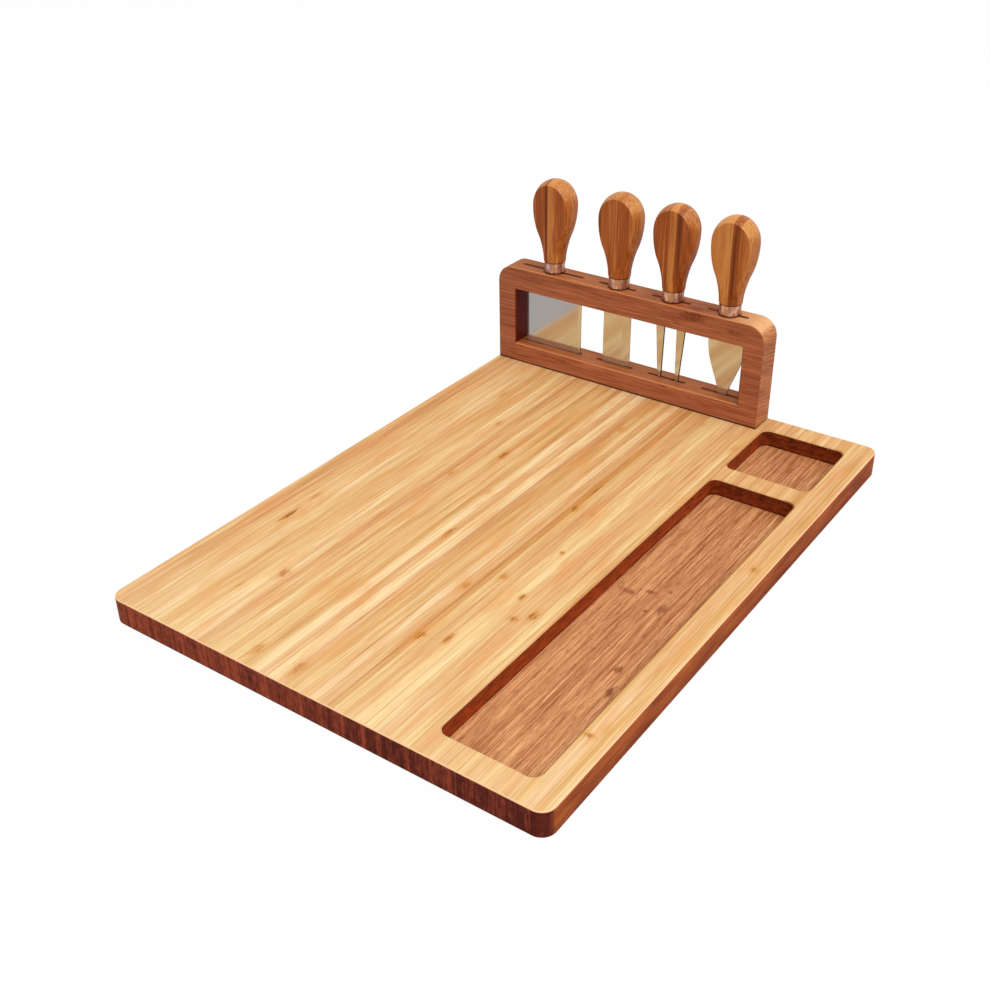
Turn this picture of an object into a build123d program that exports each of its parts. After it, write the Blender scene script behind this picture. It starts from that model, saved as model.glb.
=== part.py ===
from build123d import *
from math import cos, radians, sin
import os

# A bamboo cheese board: a slab with two wells, a milled rack on its back edge, and four
# small knives that hang in the rack by their ferrules. Millimetres, +Z up, +Y towards the
# rack, and the origin on the table under the middle of the board.

# Board
board_thickness = 16
board_corner_radius = 8
board_edge_ease = 0.8
well_width = 55
long_well_length = 274
small_well_length = 58
well_border = 16
well_floor = 5
well_corner_radius = 5.5
well_edge_ease = 0.5
rack_to_well = 4.5

# Rack
rack_thickness = 19
rack_inset = 1
rack_corner_radius = 12
rack_edge_ease = 0.8
upright_width = 14.5
bottom_rail_height = 14
top_rail_height = 16
window_edge_ease = 0.6
first_slot_margin = 0.3
last_slot_margin = 1.8
slot_gap = 11.8
bottom_slot_depth = 9.5
blade_side_clearance = 0.75
blade_end_clearance = 0.4
wide_slot_play = 2.5
narrow_slot_play = 1.5

# Rack screws
screw_length = 30
screw_shank_diameter = 4
screw_head_diameter = 8
screw_head_sink = 0.4
screw_point_length = 3
screw_clearance = 0.1
drive_recess_width = 0.9
drive_recess_depth = 1.4
drive_recess_reach_share = 0.55

# Blades
blade_thickness = 1.5
blade_length = 62.5
blade_tip_entry = 5.5
blade_neck_width = 9
shoulder_height = 5
shoulder_radius = 3.5
shoulder_root_radius = 1.5
blade_corner_radius = 0.8
cutting_edge_thickness = 0.4
cleaver_width = 45
cleaver_grind_width = 2.2
plane_knife_width = 21
plane_knife_grind_width = 6
fork_width = 22.6
fork_tip_width = 15.4
prong_root_width = 7
prong_tip_width = 2.4
prong_point_length = 2.5
fork_crotch_depth = 14
spade_width = 26
spade_shoulder_height = 3.5

# Handles and ferrules
handle_height = 56.5
handle_diameter = 30.3
handle_thickness = 16
handle_neck_diameter = 15.2
ferrule_height = 8
ferrule_top_diameter = 14.4
ferrule_bottom_diameter = 13.8
ferrule_wall = 0.6
ferrule_lip = 0.6
ferrule_edge_radius = 0.4
tang_width = 7
tang_length = 32
assembly_clearance = 0.1

# Height of the handle's widest ring, and its swelling between the neck and that ring:
# shares of that height, against shares of the growth in radius.
handle_widest_share = 0.695
handle_swell_shares = [(0.127, 0.05), (0.364, 0.31), (0.649, 0.79)]
crown_angles = [22.5, 45, 67.5]
# The turned handle's seam is kept off its flats and its slit.
seam_angle = 45
# Half of the spade blade from its tip up to its widest place: shares of half its width,
# against shares of its length.
spade_edge_shares = [(0.07, 0.015), (0.28, 0.125), (0.6, 0.32), (0.93, 0.54), (1, 0.71)]

# Worked-out sizes
narrow_slot_length = max(plane_knife_width, fork_width, spade_width) + 2 * narrow_slot_play
wide_slot_length = cleaver_width + 2 * wide_slot_play
slot_lengths = [wide_slot_length, narrow_slot_length, narrow_slot_length, narrow_slot_length]
slot_width = blade_thickness + 2 * blade_side_clearance
slot_run = sum(slot_lengths) + (len(slot_lengths) - 1) * slot_gap
window_width = first_slot_margin + slot_run + last_slot_margin
window_height = blade_length - top_rail_height - blade_tip_entry
rack_length = window_width + 2 * upright_width
rack_height = bottom_rail_height + window_height + top_rail_height
board_width = rack_inset + rack_length + rack_to_well + well_width + well_border
board_length = long_well_length + small_well_length + 3 * well_border
well_depth = board_thickness - well_floor

# Places
board_left = -board_width / 2
board_front = -board_length / 2
rack_left = board_left + rack_inset
rack_y = board_length / 2 - rack_inset - rack_thickness / 2
sill_z = board_thickness + bottom_rail_height
rack_top_z = board_thickness + rack_height
well_x = board_width / 2 - well_border - well_width / 2
long_well_y = board_front + well_border + long_well_length / 2
small_well_y = board_length / 2 - well_border - small_well_length / 2
screw_xs = [rack_left + upright_width / 2, rack_left + rack_length - upright_width / 2]
slot_xs = []
slot_start = rack_left + upright_width + first_slot_margin
for slot_length in slot_lengths:
    slot_xs.append(slot_start + slot_length / 2)
    slot_start += slot_length + slot_gap
# Each knife has slid to the right in its slot, as far as the tightest slot lets it.
knife_shift = narrow_slot_play - blade_end_clearance


def upright_profile(outline):
    """Stand a flat outline up, so that its second axis points up and it faces front."""
    return Plane.XZ * outline


def screw_space(clearance):
    """A countersunk screw's round form, head down, grown by the clearance."""
    shank_radius = screw_shank_diameter / 2 + clearance
    head_radius = screw_head_diameter / 2 + clearance
    head_height = head_radius - shank_radius
    point_z = screw_length + clearance
    taper_z = point_z - screw_point_length
    outline = Polyline(
        (0, 0), (head_radius, 0), (shank_radius, head_height), (shank_radius, taper_z), (0, point_z), (0, 0)
    )
    return revolve(upright_profile(make_face(outline)), Axis.Z)


def board():
    """The slab with its two wells and the countersunk holes under the rack."""
    slab = extrude(RectangleRounded(board_width, board_length, board_corner_radius), board_thickness)
    slab = fillet(slab.edges().filter_by(Axis.Z, reverse=True), board_edge_ease)
    for well_y, well_length in ((long_well_y, long_well_length), (small_well_y, small_well_length)):
        well_mouth = Pos(well_x, well_y, board_thickness)
        slab -= well_mouth * extrude(
            RectangleRounded(well_width, well_length, well_corner_radius), -well_depth
        )
        flare = RectangleRounded(
            well_width + 2 * well_edge_ease,
            well_length + 2 * well_edge_ease,
            well_corner_radius + well_edge_ease,
        )
        slab -= well_mouth * extrude(flare, -well_edge_ease, taper=45)
    for screw_x in screw_xs:
        seat = Pos(screw_x, rack_y, screw_head_sink) * screw_space(screw_clearance)
        sink_radius = screw_head_diameter / 2 + screw_clearance
        sink = Cylinder(sink_radius, screw_head_sink, align=(Align.CENTER, Align.CENTER, Align.MIN))
        slab -= seat
        slab -= Pos(screw_x, rack_y, 0) * sink
    return slab


def knife_rack():
    """One milled block: two rails, two uprights, and a slot in each rail for every blade."""
    middle_x = rack_left + rack_length / 2
    front = RectangleRounded(rack_length, rack_height, rack_corner_radius)
    front += Pos(0, -rack_height / 4) * Rectangle(rack_length, rack_height / 2)
    block = Pos(middle_x, rack_y, board_thickness + rack_height / 2) * extrude(
        upright_profile(front), rack_thickness / 2, both=True
    )
    rims = block.edges().filter_by(Axis.Y, reverse=True)
    rims += block.edges().filter_by(Axis.Y).group_by(Axis.Z)[0]
    block = fillet(rims, rack_edge_ease)
    # The back corner over the board's own rounded corner follows it.
    plan = RectangleRounded(board_width, board_length, board_corner_radius)
    block &= Pos(0, 0, board_thickness) * extrude(plan, rack_height)
    opening = upright_profile(Rectangle(window_width, window_height))
    mouth = upright_profile(
        Rectangle(window_width + 2 * window_edge_ease, window_height + 2 * window_edge_ease)
    )
    flare = Pos(0, -rack_thickness / 2, 0) * extrude(mouth, -window_edge_ease, taper=45)
    window = extrude(opening, rack_thickness, both=True) + flare + mirror(flare, Plane.XZ)
    block -= Pos(middle_x, rack_y, sill_z + window_height / 2) * window
    for slot_x, slot_length in zip(slot_xs, slot_lengths):
        slot = SlotOverall(slot_length, slot_width)
        block -= Pos(slot_x, rack_y, rack_top_z) * extrude(slot, -top_rail_height)
        block -= Pos(slot_x, rack_y, sill_z) * extrude(slot, -bottom_slot_depth)
    for screw_x in screw_xs:
        block -= Pos(screw_x, rack_y, screw_head_sink) * screw_space(screw_clearance)
    return block


def rack_screws():
    """Two countersunk wood screws that come up through the board into the uprights."""
    recess_reach = drive_recess_reach_share * screw_head_diameter
    arm = Box(
        recess_reach, drive_recess_width, drive_recess_depth, align=(Align.CENTER, Align.CENTER, Align.MIN)
    )
    screw = screw_space(0) - arm - Rot(0, 0, 90) * arm
    return Compound([Pos(screw_x, rack_y, screw_head_sink) * screw for screw_x in screw_xs])


def shouldered_outline(width, crown_z):
    """A blade's square body under a narrower neck that runs up into the ferrule."""
    body = Pos(0, (crown_z - shoulder_height) / 2) * Rectangle(width, -crown_z - shoulder_height)
    neck_height = shoulder_height + ferrule_lip
    neck = Pos(0, ferrule_lip - neck_height / 2) * Rectangle(blade_neck_width, neck_height)
    outline = body + neck
    rows = outline.vertices().group_by(Axis.Y)
    shoulders = ShapeList(v for v in rows[1] if abs(v.X) > (width + blade_neck_width) / 4)
    roots = ShapeList(v for v in rows[1] if abs(v.X) < (width + blade_neck_width) / 4)
    outline = fillet(shoulders, shoulder_radius)
    roots = ShapeList(
        v
        for v in outline.vertices()
        if any((v.center() - root.center()).length < blade_corner_radius for root in roots)
    )
    return fillet(roots, shoulder_root_radius)


def with_tang(outline):
    """Extrude a blade's outline and add the tang that is glued into the handle."""
    blade = extrude(upright_profile(outline), blade_thickness / 2, both=True)
    tang_height = tang_length - ferrule_lip
    tang = Box(
        tang_width, blade_thickness, tang_height, align=(Align.CENTER, Align.CENTER, Align.MIN)
    )
    return blade + Pos(0, 0, ferrule_lip) * tang


def ground_edge(width, grind_width):
    """The wedges that grinding takes off both faces along a blade's right-hand edge."""
    half = blade_thickness / 2
    land = cutting_edge_thickness / 2
    edge_x = width / 2
    wedge = make_face(
        Polyline((edge_x - grind_width, half), (edge_x, land), (edge_x, half), (edge_x - grind_width, half))
    )
    wedge = Pos(0, 0, -blade_length) * extrude(wedge, blade_length - shoulder_height)
    return wedge + mirror(wedge, Plane.XZ)


def square_blade(width, grind_width):
    """A square-ended blade, sharpened along one side."""
    outline = shouldered_outline(width, -blade_length)
    foot = outline.vertices().group_by(Axis.Y)[0]
    outline = fillet(foot, blade_corner_radius)
    return with_tang(outline) - ground_edge(width, grind_width)


def cleaver_blade():
    return square_blade(cleaver_width, cleaver_grind_width)


def plane_knife_blade():
    return square_blade(plane_knife_width, plane_knife_grind_width)


def cheese_fork_prongs():
    """A short head that splits into two tapering, pointed prongs."""
    outline = shouldered_outline(fork_width, -fork_crotch_depth)
    crotch_radius = fork_width / 2 - prong_root_width
    outline -= Pos(0, -fork_crotch_depth) * Circle(crotch_radius)
    tip_outer = fork_tip_width / 2
    point_z = prong_point_length - blade_length
    prong = make_face(
        Polyline(
            (crotch_radius, -fork_crotch_depth),
            (fork_width / 2, -fork_crotch_depth),
            (tip_outer, point_z),
            (tip_outer - prong_tip_width / 2, -blade_length),
            (tip_outer - prong_tip_width, point_z),
            (crotch_radius, -fork_crotch_depth),
        )
    )
    return with_tang(outline + prong + mirror(prong, Plane.YZ))


def spade_knife_blade():
    """A pointed spade, widest near its shoulders and drawn in to a rounded tip."""
    edge = [
        (width_share * spade_width / 2, (length_share - 1) * blade_length)
        for width_share, length_share in spade_edge_shares
    ]
    neck = (blade_neck_width / 2, -spade_shoulder_height)
    side = Spline((0, -blade_length), *edge, tangents=((1, 0), (0, 1)), tangent_scalars=(0.3, 1))
    shoulder = Spline(edge[-1], neck, tangents=((0, 1), (-1, 1)), tangent_scalars=(1, 0.6))
    rise = Line(neck, (blade_neck_width / 2, ferrule_lip))
    top = Line((blade_neck_width / 2, ferrule_lip), (0, ferrule_lip))
    middle = Line((0, ferrule_lip), (0, -blade_length))
    half = make_face(side + shoulder + rise + top + middle)
    return with_tang(half + mirror(half, Plane.YZ))


def ferrule():
    """A drawn steel cap round the handle's spigot, slit for the blade's neck."""
    outer_top = ferrule_top_diameter / 2
    outer_bottom = ferrule_bottom_diameter / 2
    outline = Polyline(
        (0, 0),
        (outer_bottom, 0),
        (outer_top, ferrule_height),
        (outer_top - ferrule_wall, ferrule_height),
        (outer_bottom - ferrule_wall, ferrule_lip),
        (0, ferrule_lip),
        (0, 0),
    )
    cap = revolve(upright_profile(make_face(outline)), Axis.Z)
    rim = cap.edges().filter_by(GeomType.CIRCLE).group_by(Axis.Z)[0]
    cap = fillet(rim, ferrule_edge_radius)
    slit = Box(
        blade_neck_width + 2 * assembly_clearance,
        blade_thickness + 2 * assembly_clearance,
        2 * ferrule_height,
    )
    lip_block = Box(
        ferrule_bottom_diameter, ferrule_bottom_diameter, 2 * ferrule_lip
    )
    return cap - (slit & lip_block)


def handle():
    """A turned pear with two flats, a spigot for the ferrule and a slit for the tang."""
    neck_radius = handle_neck_diameter / 2
    widest_radius = handle_diameter / 2
    widest_height = handle_widest_share * handle_height
    widest_z = ferrule_height + widest_height
    crown_height = handle_height - widest_height
    swell_growth = widest_radius - neck_radius
    swell = [
        (neck_radius + growth_share * swell_growth, ferrule_height + height_share * widest_height)
        for height_share, growth_share in handle_swell_shares
    ]
    round_over = [
        (widest_radius * cos(radians(angle)), widest_z + crown_height * sin(radians(angle)))
        for angle in crown_angles
    ]
    neck = (neck_radius, ferrule_height)
    widest = (widest_radius, widest_z)
    top = (0, widest_z + crown_height)
    side = Spline(neck, *swell, widest, tangents=((0, 1), (0, 1)), tangent_scalars=(1, 1))
    crown = Spline(widest, *round_over, top, tangents=((0, 1), (-1, 0)))
    spigot_top = ferrule_top_diameter / 2 - ferrule_wall - assembly_clearance
    spigot_bottom = ferrule_bottom_diameter / 2 - ferrule_wall - assembly_clearance
    spigot_z = ferrule_lip + assembly_clearance
    rest = Polyline(top, (0, spigot_z), (spigot_bottom, spigot_z), (spigot_top, ferrule_height), neck)
    turned = Rot(0, 0, seam_angle) * revolve(upright_profile(make_face(side + crown + rest)), Axis.Z)
    waste = Box(2 * handle_diameter, handle_diameter, 4 * handle_height)
    waste_y = (handle_thickness + handle_diameter) / 2
    turned = turned - Pos(0, waste_y, 0) * waste - Pos(0, -waste_y, 0) * waste
    slit = Box(
        tang_width + 2 * assembly_clearance,
        blade_thickness + 2 * assembly_clearance,
        tang_length + assembly_clearance - spigot_z,
        align=(Align.CENTER, Align.CENTER, Align.MIN),
    )
    return turned - Pos(0, 0, spigot_z) * slit


nodes = {"board": board(), "knife_rack": knife_rack(), "rack_screws": rack_screws()}
blades = [
    ("cleaver", "cleaver_blade", cleaver_blade()),
    ("plane_knife", "plane_knife_blade", plane_knife_blade()),
    ("cheese_fork", "cheese_fork_prongs", cheese_fork_prongs()),
    ("spade_knife", "spade_knife_blade", spade_knife_blade()),
]
for slot_x, (knife, blade_name, blade) in zip(slot_xs, blades):
    hang = Pos(slot_x + knife_shift, rack_y, rack_top_z)
    nodes[blade_name] = hang * blade
    nodes[f"{knife}_ferrule"] = hang * ferrule()
    nodes[f"{knife}_handle"] = hang * handle()

os.makedirs("parts", exist_ok=True)
for name, shape in nodes.items():
    export_step(shape, f"parts/{name}.step")
    box = shape.bounding_box()
    print(name, "from", box.min, "to", box.max)
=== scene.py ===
from math import pi, radians

import bmesh
import bpy
from bpy.props import FloatProperty, FloatVectorProperty, IntProperty, PointerProperty
from mathutils import Matrix, Vector


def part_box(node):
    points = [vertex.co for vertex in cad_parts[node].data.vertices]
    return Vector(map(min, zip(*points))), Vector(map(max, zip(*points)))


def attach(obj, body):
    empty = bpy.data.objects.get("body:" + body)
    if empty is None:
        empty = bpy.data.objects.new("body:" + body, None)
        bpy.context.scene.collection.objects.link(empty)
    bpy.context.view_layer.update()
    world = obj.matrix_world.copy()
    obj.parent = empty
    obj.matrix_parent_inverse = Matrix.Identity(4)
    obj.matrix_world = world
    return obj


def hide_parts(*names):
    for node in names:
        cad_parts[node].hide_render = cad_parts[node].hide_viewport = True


bl_info = {
    "name": "Bamboo Cheese Board",
    "version": (1, 0, 0),
    "blender": (4, 5, 0),
    "location": "View3D > Sidebar > Cheese Board",
    "description": "Finishes for a bamboo slab with two wells, a slotted rack and four cheese knives",
    "category": "Object",
}

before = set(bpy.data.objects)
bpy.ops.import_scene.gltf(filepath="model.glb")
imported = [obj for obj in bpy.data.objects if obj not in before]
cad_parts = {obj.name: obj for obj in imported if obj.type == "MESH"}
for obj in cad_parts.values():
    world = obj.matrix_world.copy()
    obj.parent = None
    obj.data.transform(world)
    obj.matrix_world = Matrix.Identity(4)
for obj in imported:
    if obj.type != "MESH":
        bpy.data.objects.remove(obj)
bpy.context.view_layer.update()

MM = 0.001

# The knives from left to right, each with its blade.
BLADES = {
    "cleaver": "cleaver_blade",
    "plane_knife": "plane_knife_blade",
    "cheese_fork": "cheese_fork_prongs",
    "spade_knife": "spade_knife_blade",
}

# Heights in millimetres: the slab's top, which the rack stands on, and the floors of its wells.
BOARD_TOP = 16
WELL_FLOOR = 5

# Where the two wells start and end across and along the board, and the radius of their corners.
WELLS = (((69, -174), (124, 100)), ((69, 116), (124, 174)))
WELL_CORNER = 5.5

# Upright faces inside these spans, across and along, are well walls and not the slab's edges.
WELL_GROUND = ((-129, 129), (-179, 179))

# The rack's window, from side to side and from its sill to its lintel, with a little to spare.
WINDOW = ((-126, 51.5), (29, 72))

# The heights between which the roof's own colours come in. The sill lies below them.
ROOF_START = (70, 78)

# How far the board's strips and the handles' stripes reach across, in millimetres.
STRIPS_SPAN = (-140, 140)
STRIPES_SPAN = (-125, 60)

# The board's most telling strips, left to right: where each starts and ends in millimetres
# from the middle, and how far it is paler (above zero) or browner than its neighbours.
FEATURE_STRIPS = (
    (-136, -129, -0.30),
    (-110, -104, 0.20),
    (-86, -80, 0.35),
    (-75, -68, -0.15),
    (-61, -55, 0.40),
    (-55, -42, -0.12),
    (-42, -36, -0.28),
    (-35, -29, 0.50),
    (-23, -17, 0.55),
    (-17, -4, -0.30),
    (4, 8, 0.40),
    (10, 15, -0.25),
    (15, 19, -0.75),
    (32, 49, 0.20),
    (116, 124, -0.35),
    (127, 134, -0.25),
    (134, 136, -0.45),
)

# Knots on the board's top: place, half width and half length in millimetres, and darkness.
TOP_KNOTS = (
    (-116, -77, 1.6, 9.0, 1.0),
    (-117, -52, 1.4, 5.0, 0.5),
    (-52, 52, 2.2, 8.0, 0.8),
    (-79, 84, 1.8, 4.5, 0.5),
    (-101, 120, 2.0, 5.0, 0.4),
    (-66, 15, 2.5, 5.0, 0.4),
    (-34, 10, 2.0, 4.0, 0.3),
    (19, 23, 2.0, 4.5, 1.0),
    (18.5, 45, 0.9, 22.0, 0.8),
    (31, 23, 1.8, 3.0, 0.4),
    (38, -20, 1.2, 1.8, 0.9),
    (-27, -40, 1.7, 8.0, 0.8),
    (-72, -47, 1.2, 5.0, 0.5),
    (24, -57, 2.6, 3.5, 0.6),
    (43, -67, 1.7, 3.5, 0.7),
    (57, -77, 2.6, 5.0, 0.7),
    (50, -85, 2.6, 2.5, 0.6),
    (12, -75, 2.4, 4.0, 0.6),
    (18, -123, 2.6, 4.0, 0.8),
    (32, -117, 2.2, 5.0, 0.7),
    (-77, -122, 2.6, 5.0, 0.6),
    (-89, -143, 1.0, 4.0, 0.4),
    (-14, -177, 3.0, 8.0, 0.5),
    (-42, -178, 2.5, 6.0, 0.5),
    (-8, 122, 3.5, 4.0, 0.4),
    (33, 158, 1.6, 3.0, 0.4),
    (64, 140, 2.0, 5.0, 0.4),
    (133, 25, 2.4, 3.5, 0.6),
    (128, -137, 3.4, 2.0, 0.6),
    (133, -130, 2.6, 4.0, 0.2),
)

# The same for the two well floors.
FLOOR_KNOTS = (
    (98.6, -5.4, 1.2, 1.6, 1.0),
    (90, -11, 4.0, 2.0, 0.6),
    (79, -17, 6.0, 2.5, 0.6),
    (95.6, -27.6, 1.0, 1.4, 1.0),
    (102.4, -22, 3.0, 6.0, 0.6),
    (109, -78, 2.6, 4.0, 0.7),
    (114.4, -95, 2.4, 5.0, 0.8),
    (95, -64, 0.8, 1.2, 0.6),
    (98, 150, 2.0, 3.0, 0.4),
)

# The rack's knots: across it and up its front, and across it and along its roof's depth.
RACK_KNOTS = (
    (14, 83.5, 9.5, 3.6, 1.0),
    (3, 76, 4.0, 1.3, 0.6),
    (43, 79, 6.0, 2.2, 0.7),
    (-4, 28.5, 3.0, 0.8, 0.9),
    (30, 77, 4.0, 0.9, 0.4),
)
ROOF_KNOTS = (
    (15, 175, 8.0, 4.2, 0.9),
    (6, 181, 2.5, 1.2, 0.6),
)

# Stripes in the handles' wood: where each starts and ends across the rack, in millimetres,
# and how far it is paler or browner.
HANDLE_STRIPES = (
    (-101.2, -99.8, -0.60),
    (-99.0, -95.0, 0.40),
    (-62.0, -57.5, -0.30),
    (-49.0, -46.0, 0.15),
    (-21.5, -11.0, -0.35),
    (-7.8, -3.3, 0.40),
    (-3.3, 1.0, -0.40),
    (19.6, 36.0, 0.45),
    (36.0, 40.8, -0.34),
    (40.8, 50.2, 0.20),
)

# How the handle swells from its neck to its widest ring: shares of that height, and of the
# growth in radius.
HANDLE_SWELL = (
    (0, 0),
    (0.06, 0.015),
    (0.127, 0.05),
    (0.364, 0.31),
    (0.649, 0.79),
    (0.85, 0.965),
    (1, 1),
)

# How far down the ball that a handle is turned from its side ends and its foot starts.
FOOT_START = 0.9

# A blade's faces that turn by less than the first are one face. Edges sharper than the creases
# stay crisp, and a blade's edges sharper than the last are broken.
SAME_FACE = radians(0.5)
HANDLE_CREASE = radians(50)
BLADE_CREASE = radians(3)
BROKEN_EDGE = radians(35)

# Blade faces that look this squarely forwards or backwards are shaded flat.
BROADSIDE = 0.99

# The studio, in metres: half the width of its floor, how far that lies below the board, and the
# soft light's place and width.
FLOOR_REACH = 6.0
FLOOR_DROP = 0.2 * MM
KEY_PLACE = (1.3, -0.4, 2.3)
KEY_WIDTH = 1.8


def display(red, green, blue):
    """A colour as a screen shows it, from 0 to 255, turned into the shaders' linear values."""
    shares = [value / 255 for value in (red, green, blue)]
    return tuple(s / 12.92 if s <= 0.04045 else ((s + 0.055) / 1.055) ** 2.4 for s in shares)


def colour(name, description, red, green, blue):
    tint = display(red, green, blue)
    return FloatVectorProperty(
        name=name, description=description, subtype="COLOR", size=3, min=0, max=1, default=tint
    )


def length(name, description, millimetres):
    return FloatProperty(
        name=name, description=description, unit="LENGTH", min=0, precision=4, default=millimetres * MM
    )


def angle(name, description, degrees):
    return FloatProperty(name=name, description=description, subtype="ANGLE", default=radians(degrees))


def plain(name, description, default):
    return FloatProperty(name=name, description=description, default=default)


class BoardFinish(bpy.types.PropertyGroup):
    strip_width: length("Strip width", "Mean width of the bamboo strips that make up the slab", 5.5)
    top_deep: colour("Top, deep", "Darkest strips of the top", 200, 138, 80)
    top_honey: colour("Top, honey", "Usual strips of the top", 225, 178, 121)
    # Also used as painted light: a pale band along the front of the top.
    top_pale: colour("Top, pale", "Palest strips of the top", 245, 214, 166)
    blush: colour("Blush", "Warmer patches of the top", 226, 152, 88)
    # Painted highlight: the rounded rim round the top, paler where it catches the light.
    rim: colour("Rim", "The sanded rim round the top", 252, 206, 156)
    knot: colour("Knot", "Marks where a culm had a node", 142, 76, 30)
    knot_halo: colour("Knot halo", "The golden wood round each knot", 210, 142, 66)
    end_dark: colour("End grain, dark", "Darkest strips on the short edges", 90, 28, 16)
    end_light: colour("End grain, light", "Lightest strips on the short edges", 196, 91, 54)
    side_dark: colour("Side, dark", "Dark fibres along the long edges", 124, 48, 16)
    side_light: colour("Side, light", "Light fibres along the long edges", 202, 108, 46)
    floor_dark: colour("Well floor, dark", "Dark fibres on the well floors", 158, 88, 48)
    floor_light: colour("Well floor, light", "Light fibres on the well floors", 240, 176, 120)
    pore: colour("Pore", "Short open pores that the router left in the well floors", 112, 52, 26)
    floor_knot: colour("Well floor knot", "Knots on the well floors", 112, 38, 10)
    # Painted shade: the well walls' colour is dark end grain with the shade inside the wells painted
    # in.
    wall: colour("Well wall", "Walls that the router toasted", 145, 59, 22)


class RackFinish(bpy.types.PropertyGroup):
    layer_height: length("Layer height", "Mean height of the rack's glued layers", 4.0)
    front_dark: colour("Front, dark", "Dark grain on the rack's front and back", 122, 58, 30)
    front_light: colour("Front, light", "Light grain on the rack's front and back", 204, 126, 86)
    end_dark: colour("End, dark", "Dark layers on the rack's ends", 138, 68, 36)
    end_light: colour("End, light", "Light layers on the rack's ends", 220, 146, 94)
    roof_dark: colour("Roof, dark", "Dark grain on level faces of the rack", 144, 64, 24)
    roof_light: colour("Roof, light", "Light grain on level faces of the rack", 206, 128, 66)
    roof_pale: colour("Roof, pale", "The roof's paler right end", 240, 184, 128)
    # Painted highlight: the rack's rounded upper rims, paler where they catch the light.
    rim: colour("Rim", "The rack's sanded upper rims", 216, 142, 92)
    # Painted shade: the window's upright inner walls, near black for the shade inside the window.
    darkened: colour("Toasted", "The window's toasted upright walls", 86, 16, 3)
    knot: colour("Knot", "Marks where a culm had a node", 92, 28, 8)
    foot: colour("Foot", "The line of shade under the rack's foot and round the ferrules", 62, 16, 6)


class HandleFinish(bpy.types.PropertyGroup):
    widest_height: length("Widest height", "Height of the widest ring above the ferrule", 39.27)
    neck_diameter: length("Neck diameter", "Diameter of the wood just above the ferrule", 15.2)
    edge_softness: length("Edge softness", "How far the sanded edge of each flat is rounded", 0.5)
    segments: IntProperty(name="Segments", description="Steps round each handle", min=16, default=160)
    rings: IntProperty(name="Rings", description="Steps up each handle", min=16, default=144)
    dark: colour("Dark", "Dark fibres of the handles", 100, 40, 8)
    middle: colour("Middle", "Usual wood of the handles", 168, 87, 28)
    light: colour("Light", "Light fibres of the handles", 214, 144, 74)


class SteelFinish(bpy.types.PropertyGroup):
    blade: colour("Blades", "Polished blades", 218, 222, 214)
    # Painted reflection: the narrow edges are darkened as if they mirrored dark surroundings.
    dark_edge_reflection: colour("Blade edges", "The blades' narrow edges, left as they were cut", 92, 88, 74)
    # Partly painted reflection: the steel is tinted pink for the wood that it mirrors.
    ferrule: colour("Ferrules", "Satin ferrules", 200, 166, 152)
    # Painted highlights: brighter patches in the ferrules' colour.
    bright: colour("Ferrule highlights", "Brighter patches on the ferrules", 250, 228, 214)
    # Painted shade: a dark line where a ferrule meets the wood.
    contact_shade: colour("Grime", "Dark line where a ferrule meets the wood", 58, 22, 12)
    screw: colour("Screws", "Plated screws", 190, 188, 184)
    edge_bevel: length("Edge bevel", "Width of the blades' broken edges", 0.3)


class StudioSetup(bpy.types.PropertyGroup):
    floor: colour("Floor", "Studio floor, as its light falls on the object", 180, 171, 174)
    ambient: plain("Ambient", "Strength of the even light from all round", 0.74)
    key_power: plain("Key light", "Power of the soft light at the right", 36)
    direct_glow: plain("Direct glow", "How far the floor glows white as the camera sees it", 0.94)
    mirror_glow: plain("Mirror glow", "How far the floor glows white in polished steel", 0.06)
    eye: FloatVectorProperty(
        name="Eye",
        description="Place of the camera",
        subtype="TRANSLATION",
        default=(0.3462, -0.5078, 0.4081),
    )
    azimuth: angle("Azimuth", "Turn of the view from straight on", 35.95)
    elevation: angle("Elevation", "Slope of the view", 31.55)
    roll: angle("Roll", "Tilt of the view's horizon", -0.95)
    lens: plain("Lens", "Focal length in millimetres on a 36 mm frame", 45.53)


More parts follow.
